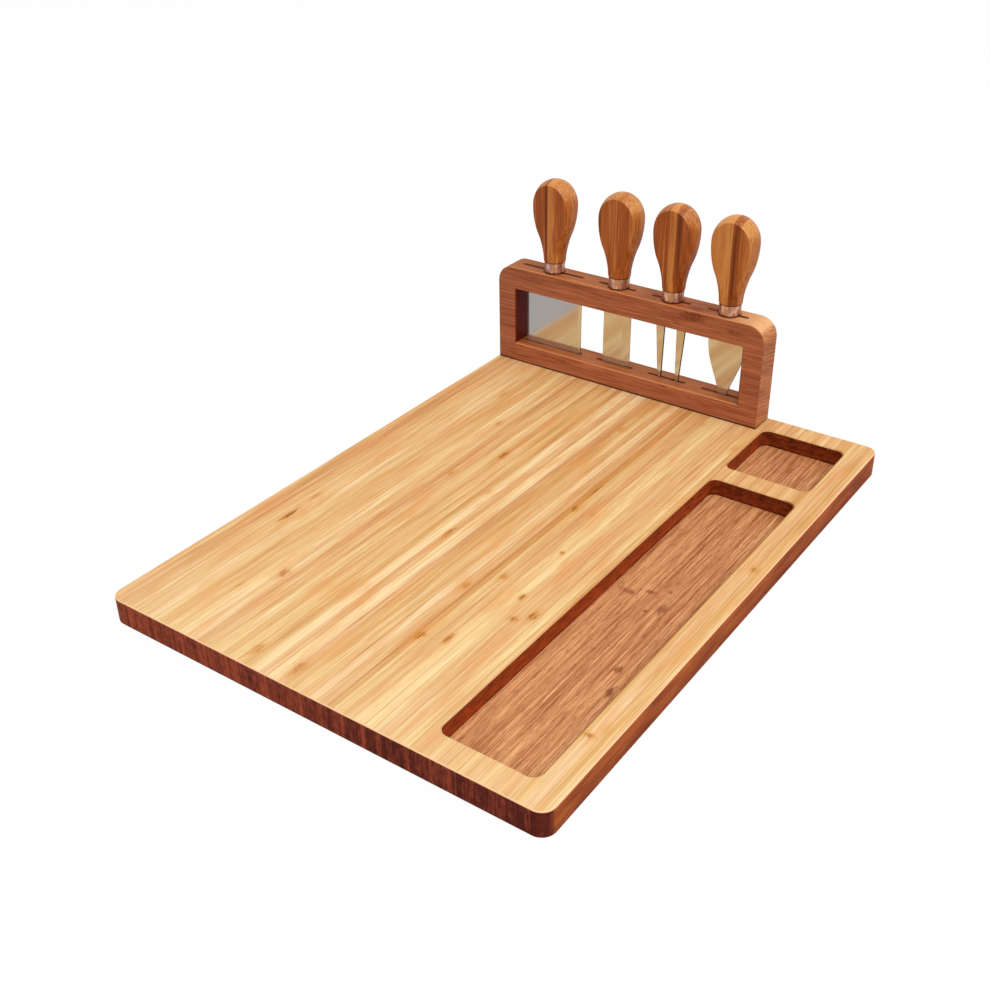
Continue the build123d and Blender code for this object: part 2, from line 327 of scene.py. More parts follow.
class NodeBench:
    """Adds nodes to one tree, and gives their main outputs as values to go on with."""

    def __init__(self, tree):
        self.tree = tree

    def node(self, kind, inputs=None, **settings):
        made = self.tree.nodes.new(kind)
        for name, value in settings.items():
            setattr(made, name, value)
        for key, value in (inputs or {}).items():
            self.feed(value, made.inputs[key])
        return made

    def feed(self, value, socket):
        if isinstance(value, bpy.types.NodeSocket):
            self.tree.links.new(value, socket)
        else:
            socket.default_value = value

    def math(self, operation, *values, clamp=False):
        inputs = dict(enumerate(values))
        return self.node("ShaderNodeMath", inputs, operation=operation, use_clamp=clamp).outputs[0]

    def chain(self, operation, values):
        result = values[0]
        for value in values[1:]:
            result = self.math(operation, result, value)
        return result

    def add(self, *values):
        return self.chain("ADD", values)

    def times(self, *values):
        return self.chain("MULTIPLY", values)

    def least(self, *values):
        return self.chain("MINIMUM", values)

    def most(self, *values):
        return self.chain("MAXIMUM", values)

    def minus(self, first, second):
        return self.math("SUBTRACT", first, second)

    def swing(self, value, reach):
        """A value between nought and one, turned into one that swings about nought."""
        return self.times(self.add(value, -0.5), reach)

    def ease(self, value, start, end):
        """Nought below start and one above end, eased between them; start may be the larger."""
        ends = (start, end, 0, 1) if start < end else (end, start, 1, 0)
        inputs = dict(zip(("Value", "From Min", "From Max", "To Min", "To Max"), (value,) + ends))
        return self.node("ShaderNodeMapRange", inputs, interpolation_type="SMOOTHSTEP").outputs[0]

    def between(self, value, low, high):
        """One from low to high and nought beyond them, eased over the outermost millimetres."""
        return self.times(self.ease(value, low, low + 1), self.ease(value, high, high - 1))

    def pick(self, share, first, second):
        """The first number where the share is nought, the second where it is one."""
        return self.node("ShaderNodeMix", {0: share, 2: first, 3: second}).outputs[0]

    def vector(self, operation, inputs):
        return self.node("ShaderNodeVectorMath", inputs, operation=operation).outputs[0]

    def split(self, vector):
        return self.node("ShaderNodeSeparateXYZ", {0: vector}).outputs

    def join(self, x, y, z):
        return self.node("ShaderNodeCombineXYZ", {0: x, 1: y, 2: z}).outputs[0]

    def cloud(self, ways, detail=2.0, roughness=0.5, layer=0.0):
        """Noise along two or three ways, each with its number of waves in a millimetre. Two ways
        leave the third to the layer."""
        places = [self.times(way, waves) for way, waves in ways] + [layer]
        vector = self.join(*places[:3])
        inputs = {"Vector": vector, "Scale": 1.0, "Detail": detail, "Roughness": roughness}
        return self.node("ShaderNodeTexNoise", inputs).outputs[0]

    def blend(self, share, first, second, how="MIX"):
        inputs = {0: share, 6: opaque(first), 7: opaque(second)}
        return self.node("ShaderNodeMix", inputs, data_type="RGBA", blend_type=how).outputs[2]

    def coat(self, base, *coats):
        """Colours laid over a base in turn. Each coat ends with its colour, and what stands before
        that, multiplied, is how well it covers."""
        for *cover, tint in coats:
            base = self.blend(self.times(*cover), base, tint)
        return base

    def ramp(self, value, stops, interpolation="LINEAR"):
        made = self.node("ShaderNodeValToRGB", {0: value})
        made.color_ramp.interpolation = interpolation
        elements = made.color_ramp.elements
        while len(elements) < len(stops):
            elements.new(1.0)
        for element, (place, tint) in zip(elements, stops):
            element.position = place
            element.color = opaque(tint)
        return made.outputs[0]


class MaterialBench(NodeBench):
    """The tree of a new material, with each point's place in millimetres and its normal."""

    def __init__(self, name):
        self.material = bpy.data.materials.new(name)
        super().__init__(empty_tree(self.material))
        self.shader = self.node("ShaderNodeBsdfPrincipled")
        self.node("ShaderNodeOutputMaterial", {0: self.shader.outputs[0]})
        coordinates = self.node("ShaderNodeTexCoord").outputs
        self.place = self.split(self.vector("SCALE", {0: coordinates["Object"], "Scale": 1 / MM}))
        self.normal = coordinates["Normal"]

    def finished(self, surface, height, depth_mm, strength):
        """The material with its surface, which a height between nought and one raises."""
        bump = {"Strength": strength, "Distance": depth_mm * MM, "Height": height}
        surface["Normal"] = self.node("ShaderNodeBump", bump).outputs[0]
        for name, value in surface.items():
            self.feed(value, self.shader.inputs[name])
        return self.material


def empty_tree(holder):
    """The cleared tree of a material or of the studio's air."""
    holder.use_nodes = True
    holder.node_tree.nodes.clear()
    return holder.node_tree


def opaque(tint):
    if isinstance(tint, bpy.types.NodeSocket):
        return tint
    if isinstance(tint, (int, float)):
        return (tint, tint, tint, 1.0)
    return (tint[0], tint[1], tint[2], 1.0)


def group_tree(name, kind, inputs, outputs, output_type="NodeSocketFloat"):
    """A new node group with its sockets. An input's default says which type it has, and one
    without a default takes a material."""
    types = {float: "NodeSocketFloat", int: "NodeSocketInt", tuple: "NodeSocketVector"}
    tree = bpy.data.node_groups.new(name, kind)
    for socket_name, default in inputs:
        socket_type = types.get(type(default), "NodeSocketMaterial")
        socket = tree.interface.new_socket(name=socket_name, in_out="INPUT", socket_type=socket_type)
        if default is not None:
            socket.default_value = default
    for socket_name in outputs:
        tree.interface.new_socket(name=socket_name, in_out="OUTPUT", socket_type=output_type)
    return tree


def strips_group():
    """Edge-glued bamboo strips, in millimetres: their tone and the lines along their grain."""
    name = "bamboo_strips"
    if name in bpy.data.node_groups:
        return bpy.data.node_groups[name]
    inputs = (("Across", 0.0), ("Along", 0.0), ("Through", 0.0), ("Strip width", 5.5), ("Seed", 0.0))
    outputs = ("Tone", "Chance", "Streak", "Fibre", "Dash", "Seam")
    tree = group_tree(name, "ShaderNodeTree", inputs, outputs)
    bench = NodeBench(tree)
    given = bench.node("NodeGroupInput").outputs
    across, through, width = given["Across"], given["Through"], given["Strip width"]
    place = bench.add(bench.math("DIVIDE", across, width), bench.times(given["Seed"], 17.0))
    strip = {"W": place, "Scale": 1.0, "Randomness": 0.75}
    cell, edge = [
        bench.node("ShaderNodeTexVoronoi", strip, voronoi_dimensions="1D", feature=feature)
        for feature in ("F1", "DISTANCE_TO_EDGE")
    ]
    tone, offset, chance = bench.split(cell.outputs["Color"])

    # Each strip is cut from its own stretch of culm, up to this many millimetres further along.
    culm_reach = 900.0
    own_along = bench.add(given["Along"], bench.times(offset, culm_reach))

    def lines(per_across, per_along, detail, roughness):
        """Noise drawn out along the grain, with its number of waves in a millimetre."""
        ways = ((across, per_across), (own_along, per_along), (through, per_across))
        return bench.cloud(ways, detail, roughness)

    drift = bench.cloud(((place, 0.8), (own_along, 0.02), (through, 1.0)))
    seam_mm = bench.times(edge.outputs["Distance"], width)
    values = {
        "Tone": bench.add(bench.times(tone, 0.6), bench.times(drift, 0.4)),
        "Chance": chance,
        "Streak": lines(0.5, 0.016, 3.0, 0.55),
        "Fibre": lines(1.5, 0.035, 4.0, 0.7),
        "Dash": bench.ease(lines(0.95, 0.028, 1.0, 0.5), 0.58, 0.72),
        "Seam": bench.times(bench.ease(seam_mm, 0.45, 0.05), bench.ease(drift, 0.35, 0.6)),
    }
    bench.node("NodeGroupOutput", values)
    return tree


def knot_group():
    """One knot at a stated place, in millimetres, with a ragged outline drawn along the grain."""
    name = "placed_knot"
    if name in bpy.data.node_groups:
        return bpy.data.node_groups[name]
    inputs = (
        ("Across", 0.0),
        ("Along", 0.0),
        ("Place across", 0.0),
        ("Place along", 0.0),
        ("Half width", 2.0),
        ("Half length", 4.0),
        ("Darkness", 1.0),
        ("Rag", 0.0),
    )
    tree = group_tree(name, "ShaderNodeTree", inputs, ("Mask", "Glow"))
    bench = NodeBench(tree)
    given = bench.node("NodeGroupInput").outputs
    squares = []
    ways = (("Across", "Place across", "Half width"), ("Along", "Place along", "Half length"))
    for way, middle, half in ways:
        away = bench.math("DIVIDE", bench.minus(given[way], given[middle]), given[half])
        squares.append(bench.times(away, away))
    spread = bench.math("SQRT", bench.add(*squares))
    mask = bench.ease(bench.add(spread, given["Rag"]), 1.25, 0.35)
    glow = bench.ease(bench.add(spread, bench.times(given["Rag"], 0.9)), 2.3, 0.6)
    values = {
        "Mask": bench.times(mask, given["Darkness"]),
        "Glow": bench.times(glow, bench.math("SQRT", given["Darkness"])),
    }
    bench.node("NodeGroupOutput", values)
    return tree


def strips(bench, across, along, through, strip_width, seed):
    """Strips laid across, along and through as asked. The seed says which strips they are."""
    inputs = dict(enumerate((across, along, through, strip_width, seed)))
    return bench.node("ShaderNodeGroup", inputs, node_tree=strips_group()).outputs


def knot_nodes(bench, across, along, knots, rag):
    """One node for each placed knot."""
    nodes = []
    for knot in knots:
        inputs = dict(enumerate((across, along, *knot, rag)))
        nodes.append(bench.node("ShaderNodeGroup", inputs, node_tree=knot_group()))
    return nodes


def strongest(bench, nodes, output="Mask"):
    """The strongest of one output of several nodes at each point."""
    return bench.most(*[node.outputs[output] for node in nodes])


def feature_tones(bench, across, span, strips_by_place):
    """How far the wood is paler or browner at a place: nought is as its neighbours are."""
    low, high = span
    place = bench.math("DIVIDE", bench.add(across, -low), high - low, clamp=True)
    shift_from = {low: 0.0}
    for start, end, shift in strips_by_place:
        shift_from[start] = shift
        shift_from[end] = 0.0
    stops = [((start - low) / (high - low), 0.5 + shift / 2) for start, shift in shift_from.items()]
    tone = bench.ramp(place, stops, "CONSTANT")
    return bench.swing(bench.split(tone)[0], 2.0)


def grain_tone(bench, grain, strengths, *shifts):
    """A strip's tone, streaks and fibres added up, each as strongly as asked, and shifted."""
    names = ("Tone", "Streak", "Fibre")
    parts = [bench.swing(grain[name], strength) for name, strength in zip(names, strengths)]
    return bench.add(0.5, *parts, *shifts)


def two_tone(bench, tone, dark, light):
    return bench.ramp(tone, ((0.1, dark), (0.9, light)))


def beyond_rectangle(bench, x, y, low, high, radius):
    """How far a place is beyond a rectangle with rounded corners, all in millimetres."""
    squares = []
    for value, start, end in zip((x, y), low, high):
        away = bench.math("ABSOLUTE", bench.add(value, -(start + end) / 2))
        way = bench.most(bench.add(away, radius - (end - start) / 2), 0.0)
        squares.append(bench.times(way, way))
    return bench.add(bench.math("SQRT", bench.add(*squares)), -radius)


def board_top(bench, finish, rag):
    """Pale strips with warmer patches, dark seams, knots and the golden wood round them."""
    x, y, z = bench.place
    grain = strips(bench, x, y, bench.times(z, 0.3), finish.strip_width / MM, seed=3.0)
    shifts = (
        bench.times(feature_tones(bench, x, STRIPS_SPAN, FEATURE_STRIPS), 0.52),
        # Painted light: the top is paler towards its front edge.
        bench.times(bench.ease(y, 40, -160), 0.1),
        -0.02,
    )
    tone = grain_tone(bench, grain, (0.4, 0.95, 0.75), *shifts)
    wood = bench.ramp(tone, ((0.12, finish.top_deep), (0.5, finish.top_honey), (0.88, finish.top_pale)))
    patches = bench.cloud(((x, 0.11), (y, 0.022)), detail=3.0, roughness=0.55, layer=5.0)
    wood = bench.coat(
        wood,
        (bench.ease(patches, 0.48, 0.7), 0.45, finish.blush),
        # Painted light: a pale band along the front of the top.
        (bench.ease(y, -130, -188), 0.24, finish.top_pale),
    )
    hue = bench.blend(grain["Chance"], (0.99, 1.0, 0.90), (1.0, 0.98, 1.02))
    knots = knot_nodes(bench, x, y, TOP_KNOTS, rag)
    marks = strongest(bench, knots)
    glow = bench.times(strongest(bench, knots, "Glow"), bench.ease(grain["Fibre"], 0.3, 0.6))
    cores = bench.times(bench.ease(grain["Fibre"], 0.46, 0.6), bench.ease(marks, 0.25, 0.7))
    wood = bench.coat(
        bench.blend(1.0, wood, hue, "MULTIPLY"),
        (grain["Dash"], 0.28, finish.knot_halo),
        (grain["Seam"], 0.38, finish.knot),
        (glow, 0.5, finish.knot_halo),
        (marks, 1.2, finish.knot_halo),
        (cores, 0.9, finish.knot),
    )
    return grain, wood


def board_end(bench, finish):
    """The strips' ends on the short edges, blotted, and darker towards the right."""
    x, y, z = bench.place
    grain = strips(bench, x, z, y, finish.strip_width / MM * 0.6, seed=3.0)
    blots = bench.cloud(((x, 0.35), (z, 0.22)), roughness=0.6, layer=2.0)
    shifts = (bench.swing(blots, 0.9), bench.times(bench.ease(x, -60, 120), -0.32))
    tone = grain_tone(bench, grain, (0.65, 0.6, 1.4), *shifts)
    wood = two_tone(bench, tone, finish.end_dark, finish.end_light)
    return grain, bench.coat(wood, (grain["Seam"], 0.6, finish.end_dark))


def board_side(bench, finish):
    """Stained fibres along the long edges, darker towards the underside."""
    x, y, z = bench.place
    grain = strips(bench, z, y, x, strip_width=5.0, seed=11.0)
    stains = bench.cloud(((y, 0.035), (z, 0.12)), roughness=0.6, layer=4.0)
    shifts = (
        bench.times(bench.ease(y, -60, 180), -0.08),
        bench.times(bench.ease(z, BOARD_TOP - 2, 2), -0.16),
        0.08,
        bench.swing(stains, 0.9),
    )
    tone = grain_tone(bench, grain, (0.3, 0.7, 1.3), *shifts)
    wood = two_tone(bench, tone, finish.side_dark, finish.side_light)
    return bench.coat(wood, (grain["Dash"], 0.4, finish.side_dark))


def well_floor(bench, finish, rag):
    """Reddish strips with open pores and knots."""
    x, y, z = bench.place
    grain = strips(bench, x, y, z, finish.strip_width / MM * 1.4, seed=5.0)
    tone = grain_tone(bench, grain, (0.5, 1.1, 2.0), bench.times(bench.ease(y, 100, -150), 0.08))
    pores = bench.cloud(((x, 2.2), (y, 0.12)), roughness=0.6, layer=3.0)
    marks = strongest(bench, knot_nodes(bench, x, y, FLOOR_KNOTS, rag))
    marks = bench.times(marks, bench.ease(grain["Fibre"], 0.36, 0.52), 1.1)
    wood = bench.coat(
        two_tone(bench, tone, finish.floor_dark, finish.floor_light),
        (bench.ease(pores, 0.56, 0.66), 0.6, finish.pore),
        (grain["Dash"], 0.35, finish.floor_dark),
        (grain["Seam"], 0.4, finish.pore),
        (bench.least(marks, 0.75), finish.floor_knot),
    )
    return grain, wood


def well_wall(bench, finish, fibre, faces_end):
    """Dark end grain with painted shade, mottled at random, with a painted line of shade at the wall's
    foot.
    """
    x, y, z = bench.place
    # Random mottling of the walls' tone.
    mottling = bench.cloud(((x, 0.2), (y, 0.11), (z, 0.4)), detail=4.0, roughness=0.7)
    tone = bench.add(
        0.72,
        bench.times(fibre, 0.4),
        bench.times(bench.ease(z, BOARD_TOP - 3, WELL_FLOOR), 0.22),
        bench.times(faces_end, -0.32),
        bench.swing(mottling, 2.4),
        # Painted shade: darker at the foot of the wall, where it meets the floor.
        bench.times(bench.ease(z, WELL_FLOOR + 2.6, WELL_FLOOR + 0.2), -0.4),
    )
    return bench.blend(1.0, finish.wall, tone, "MULTIPLY")


def board_material(finish):
    """Pale strips on top, a painted highlight on the eased rim, dark edges, reddish well floors, and
    well walls of dark end grain with painted shade.
    """
    bench = MaterialBench("oiled_bamboo_board")
    x, y, z = bench.place
    facing_x, facing_y, facing_z = [bench.math("ABSOLUTE", way) for way in bench.split(bench.normal)]
    rag = bench.swing(bench.cloud(((x, 1.1), (y, 0.22)), detail=3.0, roughness=0.65), 2.2)
    top_grain, top = board_top(bench, finish, rag)
    end_grain, end = board_end(bench, finish)
    floor_grain, floor = well_floor(bench, finish, rag)

    faces_end = bench.ease(facing_y, 0.2, 0.55)
    corner = bench.times(bench.ease(facing_x, 0.15, 0.4), bench.ease(facing_y, 0.08, 0.35))
    underside = bench.ease(z, 1.4, 0.4)
    near_top = bench.ease(z, BOARD_TOP - 0.9, BOARD_TOP - 0.6)
    eased = bench.times(near_top, bench.ease(facing_z, 0.95, 0.85))
    in_wells = bench.times(*[bench.between(way, *span) for way, span in zip((x, y), WELL_GROUND)])
    edges = bench.coat(
        board_side(bench, finish),
        (faces_end, end),
        (corner, 0.55, finish.end_dark),
        (underside, 0.8, finish.end_dark),
        # Painted highlight on the eased rim, stronger on the short edges.
        (eased, bench.add(0.4, bench.times(faces_end, 0.5)), finish.rim),
        # Painted shade: the well walls take dark end grain with the wells' shade painted in.
        (in_wells, well_wall(bench, finish, end_grain["Fibre"], faces_end)),
    )

    sunk = bench.ease(z, WELL_FLOOR + 3, WELL_FLOOR + 2)
    wells = [beyond_rectangle(bench, x, y, low, high, WELL_CORNER) for low, high in WELLS]
    well_rim = bench.ease(bench.least(*wells), 1.2, 0.6)
    well_rim = bench.times(well_rim, bench.ease(z, BOARD_TOP - 1.5, BOARD_TOP - 0.5))
    # How far the thin line along the wells' top rims is darkened, most near their right ends.
    darkened = bench.add(0.1, bench.times(bench.ease(x, 112, 122), 0.6))
    level = bench.coat(
        top,
        (sunk, floor),
        # Painted highlight on the eased rim round the top, outside the wells.
        (eased, bench.minus(1.0, in_wells), finish.rim),
        (well_rim, darkened, finish.knot),
    )
    wood = bench.blend(bench.ease(facing_z, 0.6, 0.4), level, edges)
    surface = {"Base Color": wood, "Roughness": 0.55, "Specular IOR Level": 0.12}
    seams = bench.times(top_grain["Seam"], -0.6)
    relief = bench.add(top_grain["Fibre"], seams, bench.times(floor_grain["Fibre"], sunk, 2.0))
    return bench.finished(surface, relief, depth_mm=0.05, strength=0.6)


def rack_front(bench, finish, rag, swirl):
    """Red-brown level grain with swirling knots, paler towards the foot."""
    x, y, z = bench.place
    grain = strips(bench, z, x, y, finish.layer_height / MM, seed=7.0)
    tone = grain_tone(bench, grain, (0.35, 0.7, 1.7), bench.times(bench.ease(z, 44, 24), 0.07))
    wood = bench.coat(
        two_tone(bench, tone, finish.front_dark, finish.front_light),
        (grain["Dash"], 0.4, finish.front_dark),
        (strongest(bench, knot_nodes(bench, x, z, RACK_KNOTS, rag)), swirl, finish.knot),
    )
    return grain, wood


def rack_end(bench, finish):
    """Glued layers that rise a little towards the front."""
    x, y, z = bench.place
    slope = bench.add(z, bench.times(y, 0.25))
    grain = strips(bench, slope, y, x, finish.layer_height / MM, seed=7.0)
    thin = bench.cloud(((slope, 1.6), (y, 0.05), (x, 0.05)), roughness=0.6)
    tone = grain_tone(bench, grain, (0.5, 0.5, 0.8), bench.swing(thin, 1.6))
    wood = two_tone(bench, tone, finish.end_dark, finish.end_light)
    return bench.coat(wood, (grain["Seam"], 0.5, finish.end_dark))


def rack_roof(bench, finish, rag, swirl, seats):
    """Level faces, paler at the roof's right end, with a thin line of shade round each ferrule."""
    x, y, z = bench.place
    roof = bench.ease(z, *ROOF_START)
    grain = strips(bench, y, x, z, strip_width=6.0, seed=9.0)
    lit = bench.times(bench.ease(x, -90, -70), bench.ease(x, -20, -40), roof, 0.16)
    tone = grain_tone(bench, grain, (0.3, 0.9, 1.2), lit)
    pale = bench.add(bench.times(bench.ease(x, 24, 56), 0.58), bench.times(bench.ease(x, 50, 62), 0.32))
    rings = [beyond_rectangle(bench, x, y, low, high, (high.x - low.x) / 2) for low, high in seats]
    nearest = bench.least(*rings)
    shade = bench.times(bench.ease(nearest, 0.85, 0.25), bench.ease(nearest, -0.5, 0.0))
    return bench.coat(
        two_tone(bench, tone, finish.roof_dark, finish.roof_light),
        (pale, roof, finish.roof_pale),
        (grain["Dash"], 0.35, finish.roof_dark),
        (strongest(bench, knot_nodes(bench, x, y, ROOF_KNOTS, rag)), roof, swirl, finish.knot),
        (shade, roof, 0.7, finish.foot),
    )


def rack_material(finish, seats):
    """Level grain on the front, glued layers on the ends and a paler roof. Each seat is the lowest
    and the highest corner of a ferrule that stands on the roof, in millimetres."""
    bench = MaterialBench("layered_bamboo_rack")
    x, y, z = bench.place
    normal = bench.split(bench.normal)
    facing_x, facing_y, facing_z = [bench.math("ABSOLUTE", way) for way in normal]
    rag = bench.cloud(((x, 0.25), (z, 0.9), (y, 0.9)), detail=3.0, roughness=0.65)
    rag = bench.swing(rag, 2.0)
    swirl = bench.cloud(((x, 0.42), (z, 1.1), (y, 1.1)), detail=3.0, roughness=0.7)
    swirl = bench.add(0.3, bench.times(bench.ease(swirl, 0.45, 0.6), 0.6))
    grain, front = rack_front(bench, finish, rag, swirl)
    in_window = bench.times(*[bench.between(way, *span) for way, span in zip((x, z), WINDOW)])
    # Inside the window the upright walls get painted shade in place of the end layers.
    sideways = bench.blend(in_window, rack_end(bench, finish), finish.darkened)
    # Painted highlight on the rounded upper rims of the front and back.
    rim = bench.times(bench.ease(facing_y, 0.25, 0.4), bench.ease(normal[2], 0.3, 0.5))
    # Painted shade: a dark line on the rack's eased foot, just above the board.
    foot = bench.times(bench.ease(z, BOARD_TOP + 1.6, BOARD_TOP + 0.9), bench.ease(normal[2], 0.3, 0.1))
    wood = bench.coat(
        front,
        (bench.ease(facing_x, 0.5, 0.8), sideways),
        (bench.ease(facing_z, 0.5, 0.8), rack_roof(bench, finish, rag, swirl, seats)),
        (rim, 0.7, finish.rim),
        (foot, 0.9, finish.foot),
    )
    surface = {"Base Color": wood, "Roughness": 0.5, "Specular IOR Level": 0.14}
    return bench.finished(surface, grain["Fibre"], depth_mm=0.05, strength=0.5)


def handle_material(finish):
    """Caramel bamboo with upright stripes that show on the turned sides as curves, with painted light
    making the crown and the right cheek paler."""
    bench = MaterialBench("caramel_bamboo_handles")
    x, y, z = bench.place
    normal = bench.split(bench.normal)
    grain = strips(bench, x, z, y, strip_width=4.5, seed=13.0)
    shifts = (
        bench.times(feature_tones(bench, x, STRIPES_SPAN, HANDLE_STRIPES), 0.5),
        # Painted light: paler on the crown and the right cheek, where the light falls.
        bench.times(bench.ease(normal[2], 0.1, 0.6), 0.2),
        bench.times(bench.ease(normal[0], 0.15, 0.6), 0.08),
    )
    tone = grain_tone(bench, grain, (0.35, 0.7, 0.9), *shifts)
    wood = bench.ramp(tone, ((0.1, finish.dark), (0.5, finish.middle), (0.9, finish.light)))
    wood = bench.coat(wood, (grain["Dash"], 0.35, finish.dark))
    surface = {"Base Color": wood, "Roughness": 0.38, "Specular IOR Level": 0.3}
    return bench.finished(surface, grain["Fibre"], depth_mm=0.03, strength=0.5)


def polished(bench, tint, metallic, roughness, unevenness):
    """Steel with faint level lines left by its polishing."""
    x, y, z = bench.place
    lines = bench.cloud(((x, 0.35), (y, 0.35), (z, 7.0)))
    surface = {
        "Base Color": opaque(tint),
        "Metallic": metallic,
        "Roughness": bench.add(roughness, bench.times(lines, unevenness)),
    }
    return bench.finished(surface, lines, depth_mm=0.002, strength=0.3)


def blade_material(finish):
    """Mirror-like faces, and narrow edges darkened with a painted dark reflection."""
    bench = MaterialBench("polished_blade_steel")
    facing_y = bench.math("ABSOLUTE", bench.split(bench.normal)[1])
    # Painted reflection: narrow edges, which face neither forwards nor backwards, are darkened.
    tint = bench.blend(bench.ease(facing_y, 0.9, 0.75), finish.blade, finish.dark_edge_reflection)
    return polished(bench, tint, metallic=0.9, roughness=0.08, unevenness=0.06)


def ferrule_material(finish, foot, top):
    """Satin steel with brighter patches as painted highlights, and a line of painted shade where it
    meets the wood at its foot and its top.
    """
    bench = MaterialBench("satin_ferrule_steel")
    x, y, z = bench.place
    patches = bench.cloud(((x, 0.5), (y, 0.5), (z, 0.15)))
    # Painted shade: darker near the ferrule's foot and its top, where it meets the wood.
    contact_shade = bench.most(bench.ease(z, foot + 1.1, foot + 0.5), bench.ease(z, top - 0.9, top - 0.4))
    tint = bench.coat(
        finish.ferrule, (bench.ease(patches, 0.45, 0.6), finish.bright), (contact_shade, 0.9, finish.contact_shade)
    )
    return polished(bench, tint, metallic=1.0, roughness=0.3, unevenness=0.1)


def give_material(piece, material):
    """Assign on the object, so a CAD node's own mesh stays untouched."""
    if not piece.material_slots:
        piece.data.materials.append(material)
    for material_slot in piece.material_slots:
        material_slot.link = "OBJECT"
        material_slot.material = material


def handle_tree():
    """A pear turned from a ball: ellipse crown, swelling side, flat foot and two soft-edged flats."""
    name = "turned_handle"
    if name in bpy.data.node_groups:
        return bpy.data.node_groups[name]
    inputs = (
        ("Height", 0.0565),
        ("Widest height", 0.0393),
        ("Widest diameter", 0.0303),
        ("Neck diameter", 0.0152),
        ("Thickness", 0.016),
        ("Edge softness", 0.0005),
        ("Segments", 160),
        ("Rings", 144),
        ("Foot", (0.0, 0.0, 0.0)),
        ("Wood", None),
    )
    tree = group_tree(name, "GeometryNodeTree", inputs, ("Geometry",), "NodeSocketGeometry")
    bench = NodeBench(tree)
    given = bench.node("NodeGroupInput").outputs
    ball_sizes = {"Segments": given["Segments"], "Rings": given["Rings"], "Radius": 1.0}
    shape = bench.node("GeometryNodeMeshUVSphere", ball_sizes).outputs["Mesh"]
    x, y, z = bench.split(bench.node("GeometryNodeInputPosition").outputs[0])
    widest_radius = bench.times(given["Widest diameter"], 0.5)
    neck_radius = bench.times(given["Neck diameter"], 0.5)

    # Below the ball's widest ring: most of the way down is the side, and the rest the foot.
    down = bench.math("DIVIDE", bench.math("ARCSINE", bench.times(z, -1.0)), pi / 2, clamp=True)
    rise = bench.math("SUBTRACT", 1.0, bench.math("DIVIDE", down, FOOT_START), clamp=True)
    swell = bench.node("ShaderNodeFloatCurve", {0: 1.0, 1: rise})
    curve = swell.mapping.curves[0]
    for place, share in HANDLE_SWELL[1:-1]:
        curve.points.new(place, share)
    curve.points[0].location = HANDLE_SWELL[0]
    curve.points[-1].location = HANDLE_SWELL[-1]
    swell.mapping.update()
    growth = bench.times(swell.outputs[0], bench.minus(widest_radius, neck_radius))
    inwards = bench.math("DIVIDE", bench.minus(down, FOOT_START), 1.0 - FOOT_START, clamp=True)
    side_radius = bench.times(bench.add(neck_radius, growth), bench.minus(1.0, inwards))
    side_z = bench.times(rise, given["Widest height"])

    # Above it, the crown is half an ellipse.
    ring = bench.math("SQRT", bench.add(bench.times(x, x), bench.times(y, y)))
    crown_height = bench.minus(given["Height"], given["Widest height"])
    crown_z = bench.add(given["Widest height"], bench.times(z, crown_height))
    above = bench.math("GREATER_THAN", z, -0.0001)
    radius = bench.pick(above, side_radius, bench.times(ring, widest_radius))
    height = bench.pick(above, side_z, crown_z)

    direction = bench.vector("NORMALIZE", {0: bench.join(x, y, 0.0)})
    turned = bench.split(bench.vector("SCALE", {0: direction, "Scale": radius}))
    half = bench.times(given["Thickness"], 0.5)
    depth = bench.math("SMOOTH_MIN", bench.math("ABSOLUTE", turned[1]), half, given["Edge softness"])
    depth = bench.times(depth, bench.math("SIGN", turned[1]))
    place = bench.vector("ADD", {0: bench.join(turned[0], depth, height), 1: given["Foot"]})
    steps = {
        "SetPosition": {"Position": place},
        "SetShadeSmooth": {},
        "RealizeInstances": {},
        "SetMaterial": {"Material": given["Wood"]},
    }
    for step, inputs in steps.items():
        shape = bench.node(f"GeometryNode{step}", {"Geometry": shape, **inputs}).outputs[0]
    bench.node("NodeGroupOutput", {0: shape})
    return tree


def add_object(name, data):
    made = bpy.data.objects.new(name, data)
    bpy.context.scene.collection.objects.link(made)
    return made


def settle(piece):
    """Keep what a piece's modifiers make as its plain mesh."""
    bpy.context.view_layer.update()
    grown = piece.evaluated_get(bpy.context.evaluated_depsgraph_get())
    mesh = bpy.data.meshes.new_from_object(grown)
    mesh.name = piece.name
    piece.modifiers.clear()
    piece.data = mesh


def grow_piece(name, tree, values):
    """Run a Geometry Nodes tree on an empty mesh and keep its result."""
    piece = add_object(name, bpy.data.meshes.new(name))
    modifier = piece.modifiers.new("Maker", "NODES")
    modifier.node_group = tree
    for item in tree.interface.items_tree:
        if item.in_out == "INPUT" and item.name in values:
            modifier[item.identifier] = values[item.name]
    settle(piece)
    return piece


def copy_of_node(node, name):
    """A plain copy of a CAD node's mesh with its loose triangles joined up."""
    mesh = bpy.data.meshes.new(name)
    build = bmesh.new()
    build.from_mesh(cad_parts[node].data)
    bmesh.ops.remove_doubles(build, verts=build.verts, dist=0.001 * MM)
    bmesh.ops.dissolve_limit(
        build,
        angle_limit=SAME_FACE,
        verts=build.verts,
        edges=build.edges,
        use_dissolve_boundaries=False,
    )
    build.to_mesh(mesh)
    build.free()
    return add_object(name, mesh)


class MakeBoard(bpy.types.Operator):
    """Give the slab its bamboo top, dark edges and wells with painted shade on their walls"""

    bl_idname = "cheese_board.make_board"
    bl_label = "Board"

    def execute(self, context):
        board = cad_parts["board"]
        give_material(board, board_material(context.scene.board_finish))
        return {"FINISHED"}


